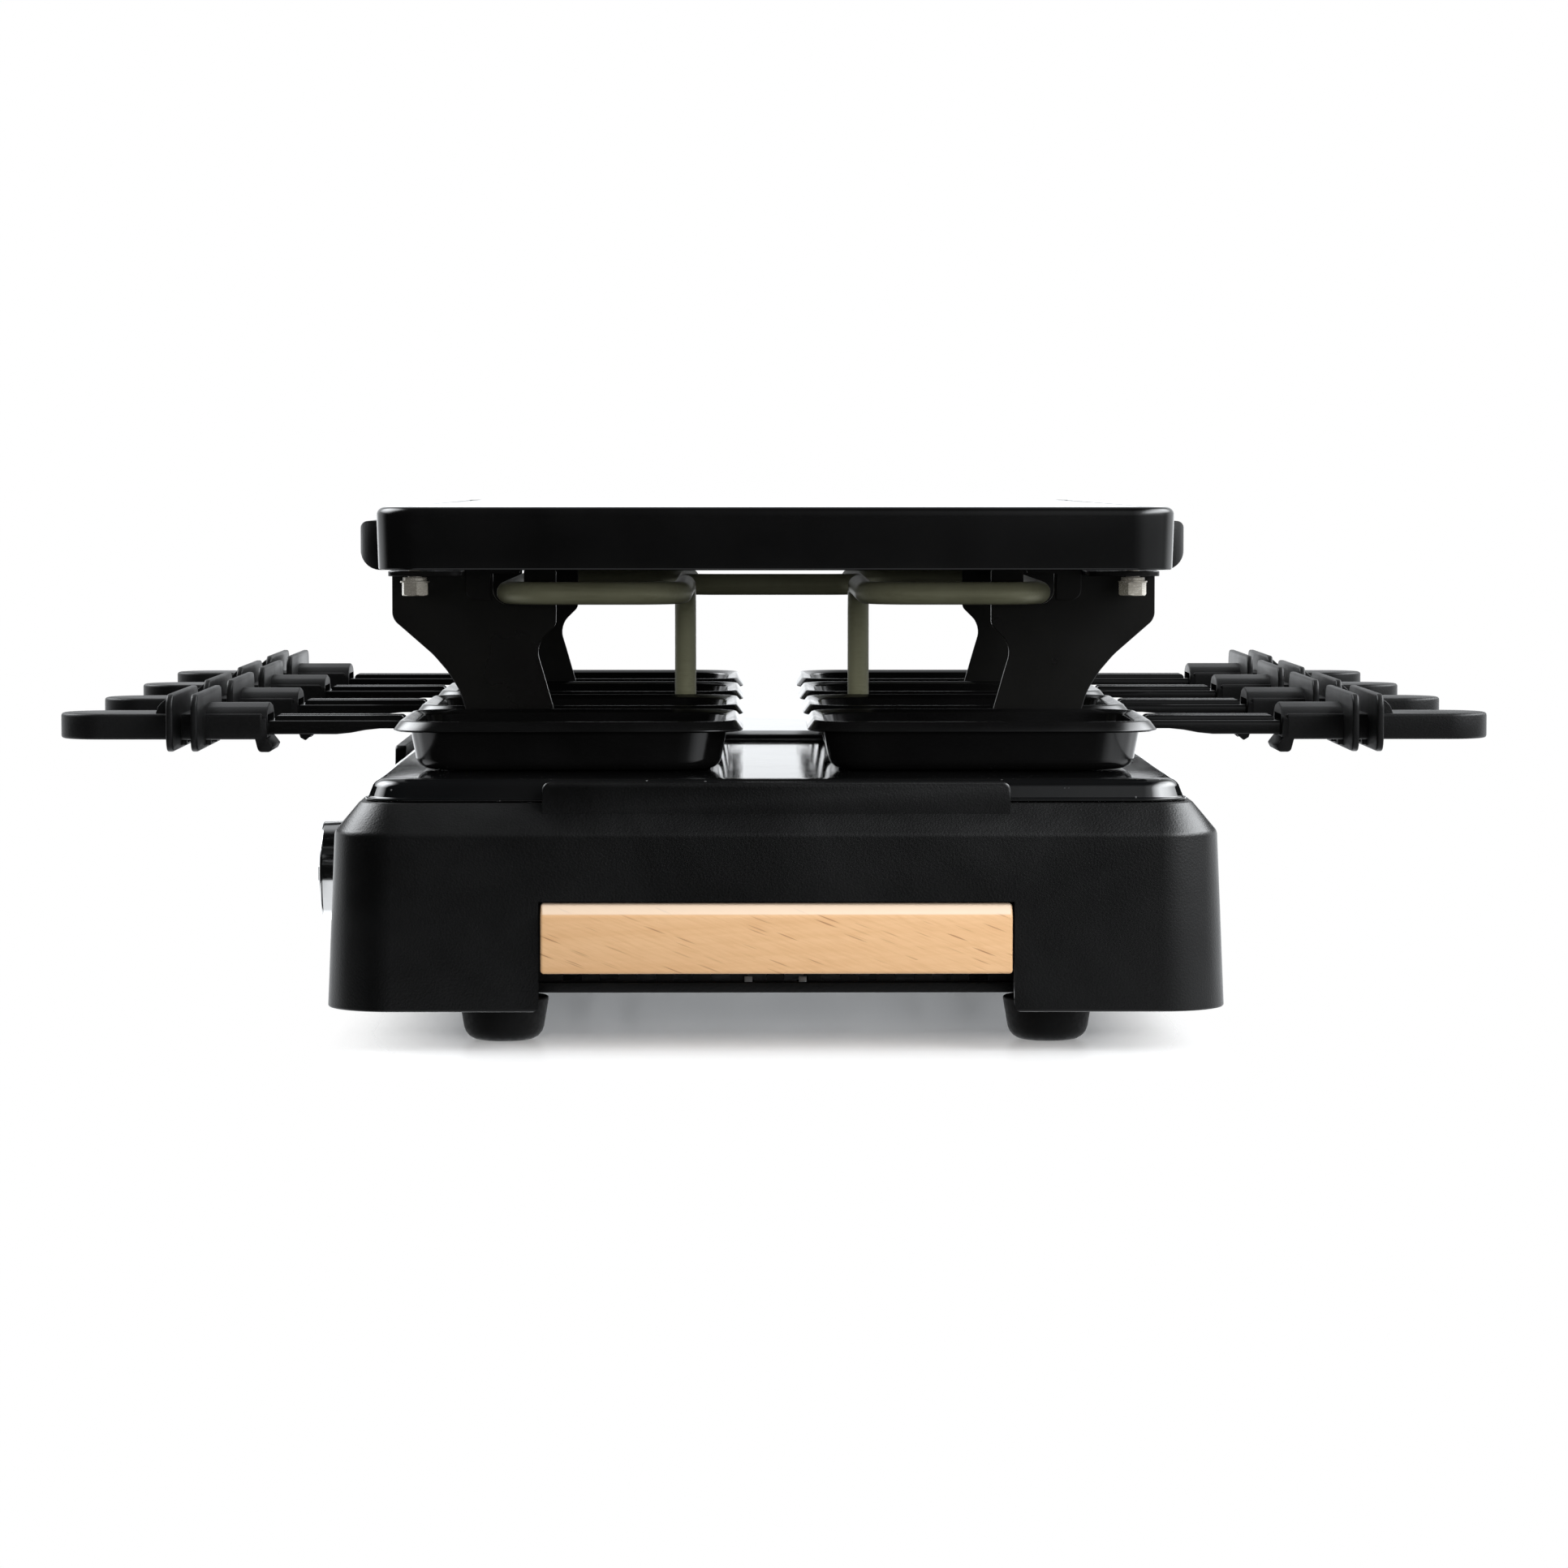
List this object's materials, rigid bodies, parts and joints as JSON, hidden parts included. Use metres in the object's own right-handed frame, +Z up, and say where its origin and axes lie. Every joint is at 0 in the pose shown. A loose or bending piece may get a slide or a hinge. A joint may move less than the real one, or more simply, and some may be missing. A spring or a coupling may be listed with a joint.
{
  "type": "raclette grill",
  "caption": "Countertop raclette grill: cast plate on brackets over a tube heater, small pans on an enamel deck, moulded base with wooden carrying bars, rubber feet and a thermostat knob.",
  "frame": {"origin": "on the table under the middle of the grill", "axes": "+X across the grill to its right long side, +Y along it to the end with the plate's ribbed half, +Z up; the knob is on the -X side"},
  "size_m": [0.398, 0.472, 0.1432],
  "materials": {
    "moulded_black": "fine grained satin",
    "enamel_black": "gloss vitreous enamel",
    "galvanised": "galvanised sheet",
    "beech": "satin lacquer",
    "rubber_black": "matt",
    "painted_black": "satin heat-resistant coat",
    "zinc": "zinc plated",
    "element_olive": "oxidised olive grey",
    "nonstick": "pebbled non-stick coat",
    "pan_coating": "non-stick coat",
    "handle_black": "fine grained satin",
    "chrome": "polished",
    "ceramic": "unglazed ceramic",
    "brass": "plain",
    "phenolic": "moulded phenolic",
    "lens_amber": "clear amber lens",
    "lead_sleeve": "braided glass sleeve"
  },
  "bodies": {
    "base": {"housing": "moulded_black", "bottom_cover": "galvanised", "deck_tray": "enamel_black", "leg_plate": "painted_black", "foot_1": "rubber_black", "foot_2": "rubber_black", "foot_3": "rubber_black", "foot_4": "rubber_black", "tie_bolt_1": "zinc", "tie_bolt_2": "zinc", "tie_bolt_3": "zinc", "tie_bolt_4": "zinc", "wood_handle_front": "beech", "wood_handle_rear": "beech", "bracket_1": "painted_black", "bracket_2": "painted_black", "bracket_3": "painted_black", "bracket_4": "painted_black", "element_clip_1": "painted_black", "element_clip_2": "painted_black", "element_clip_3": "painted_black", "element_clip_4": "painted_black", "plate_bolt_1": "zinc", "plate_bolt_2": "zinc", "plate_bolt_3": "zinc", "plate_bolt_4": "zinc", "heating_element": "element_olive", "element_terminal_1": "brass", "element_terminal_2": "brass", "thermostat_body": "phenolic", "thermostat_nut": "zinc", "pilot_lamp": "lens_amber", "cord_gland": "rubber_black", "terminal_block": "ceramic", "lead_supply": "lead_sleeve", "lead_heater": "lead_sleeve", "lead_neutral": "lead_sleeve"},
    "dial": {"knob": "chrome", "thermostat_shaft": "zinc"},
    "plate": {"grill_plate": "nonstick", "plate_grip_left": "handle_black", "plate_grip_right": "handle_black", "grip_screw_left": "zinc", "grip_screw_right": "zinc"},
    "pan_body_1": {"pan_1": "pan_coating", "pan_handle_1": "handle_black"},
    "pan_body_2": {"pan_2": "pan_coating", "pan_handle_2": "handle_black"},
    "pan_body_3": {"pan_3": "pan_coating", "pan_handle_3": "handle_black"},
    "pan_body_4": {"pan_4": "pan_coating", "pan_handle_4": "handle_black"},
    "pan_body_5": {"pan_5": "pan_coating", "pan_handle_5": "handle_black"},
    "pan_body_6": {"pan_6": "pan_coating", "pan_handle_6": "handle_black"},
    "pan_body_7": {"pan_7": "pan_coating", "pan_handle_7": "handle_black"},
    "pan_body_8": {"pan_8": "pan_coating", "pan_handle_8": "handle_black"}
  },
  "joints": [
    {"name": "plate_lift", "type": "slide", "parent": "base", "child": "plate", "axis": [0, 0, 1], "range_m": [0, 0.06]},
    {"name": "knob_turn", "type": "hinge", "parent": "base", "child": "dial", "pos_m": [-0.12, 0, 0.03], "axis": [1, 0, 0], "range_deg": [0, 270]},
    {"name": "pan_1_slide", "type": "slide", "parent": "base", "child": "pan_body_1", "axis": [-1, 0, 0], "range_m": [0, 0.13]},
    {"name": "pan_2_slide", "type": "slide", "parent": "base", "child": "pan_body_2", "axis": [-1, 0, 0], "range_m": [0, 0.13]},
    {"name": "pan_3_slide", "type": "slide", "parent": "base", "child": "pan_body_3", "axis": [-1, 0, 0], "range_m": [0, 0.13]},
    {"name": "pan_4_slide", "type": "slide", "parent": "base", "child": "pan_body_4", "axis": [-1, 0, 0], "range_m": [0, 0.13]},
    {"name": "pan_5_slide", "type": "slide", "parent": "base", "child": "pan_body_5", "axis": [1, 0, 0], "range_m": [0, 0.13]},
    {"name": "pan_6_slide", "type": "slide", "parent": "base", "child": "pan_body_6", "axis": [1, 0, 0], "range_m": [0, 0.13]},
    {"name": "pan_7_slide", "type": "slide", "parent": "base", "child": "pan_body_7", "axis": [1, 0, 0], "range_m": [0, 0.13]},
    {"name": "pan_8_slide", "type": "slide", "parent": "base", "child": "pan_body_8", "axis": [1, 0, 0], "range_m": [0, 0.13]}
  ]
}
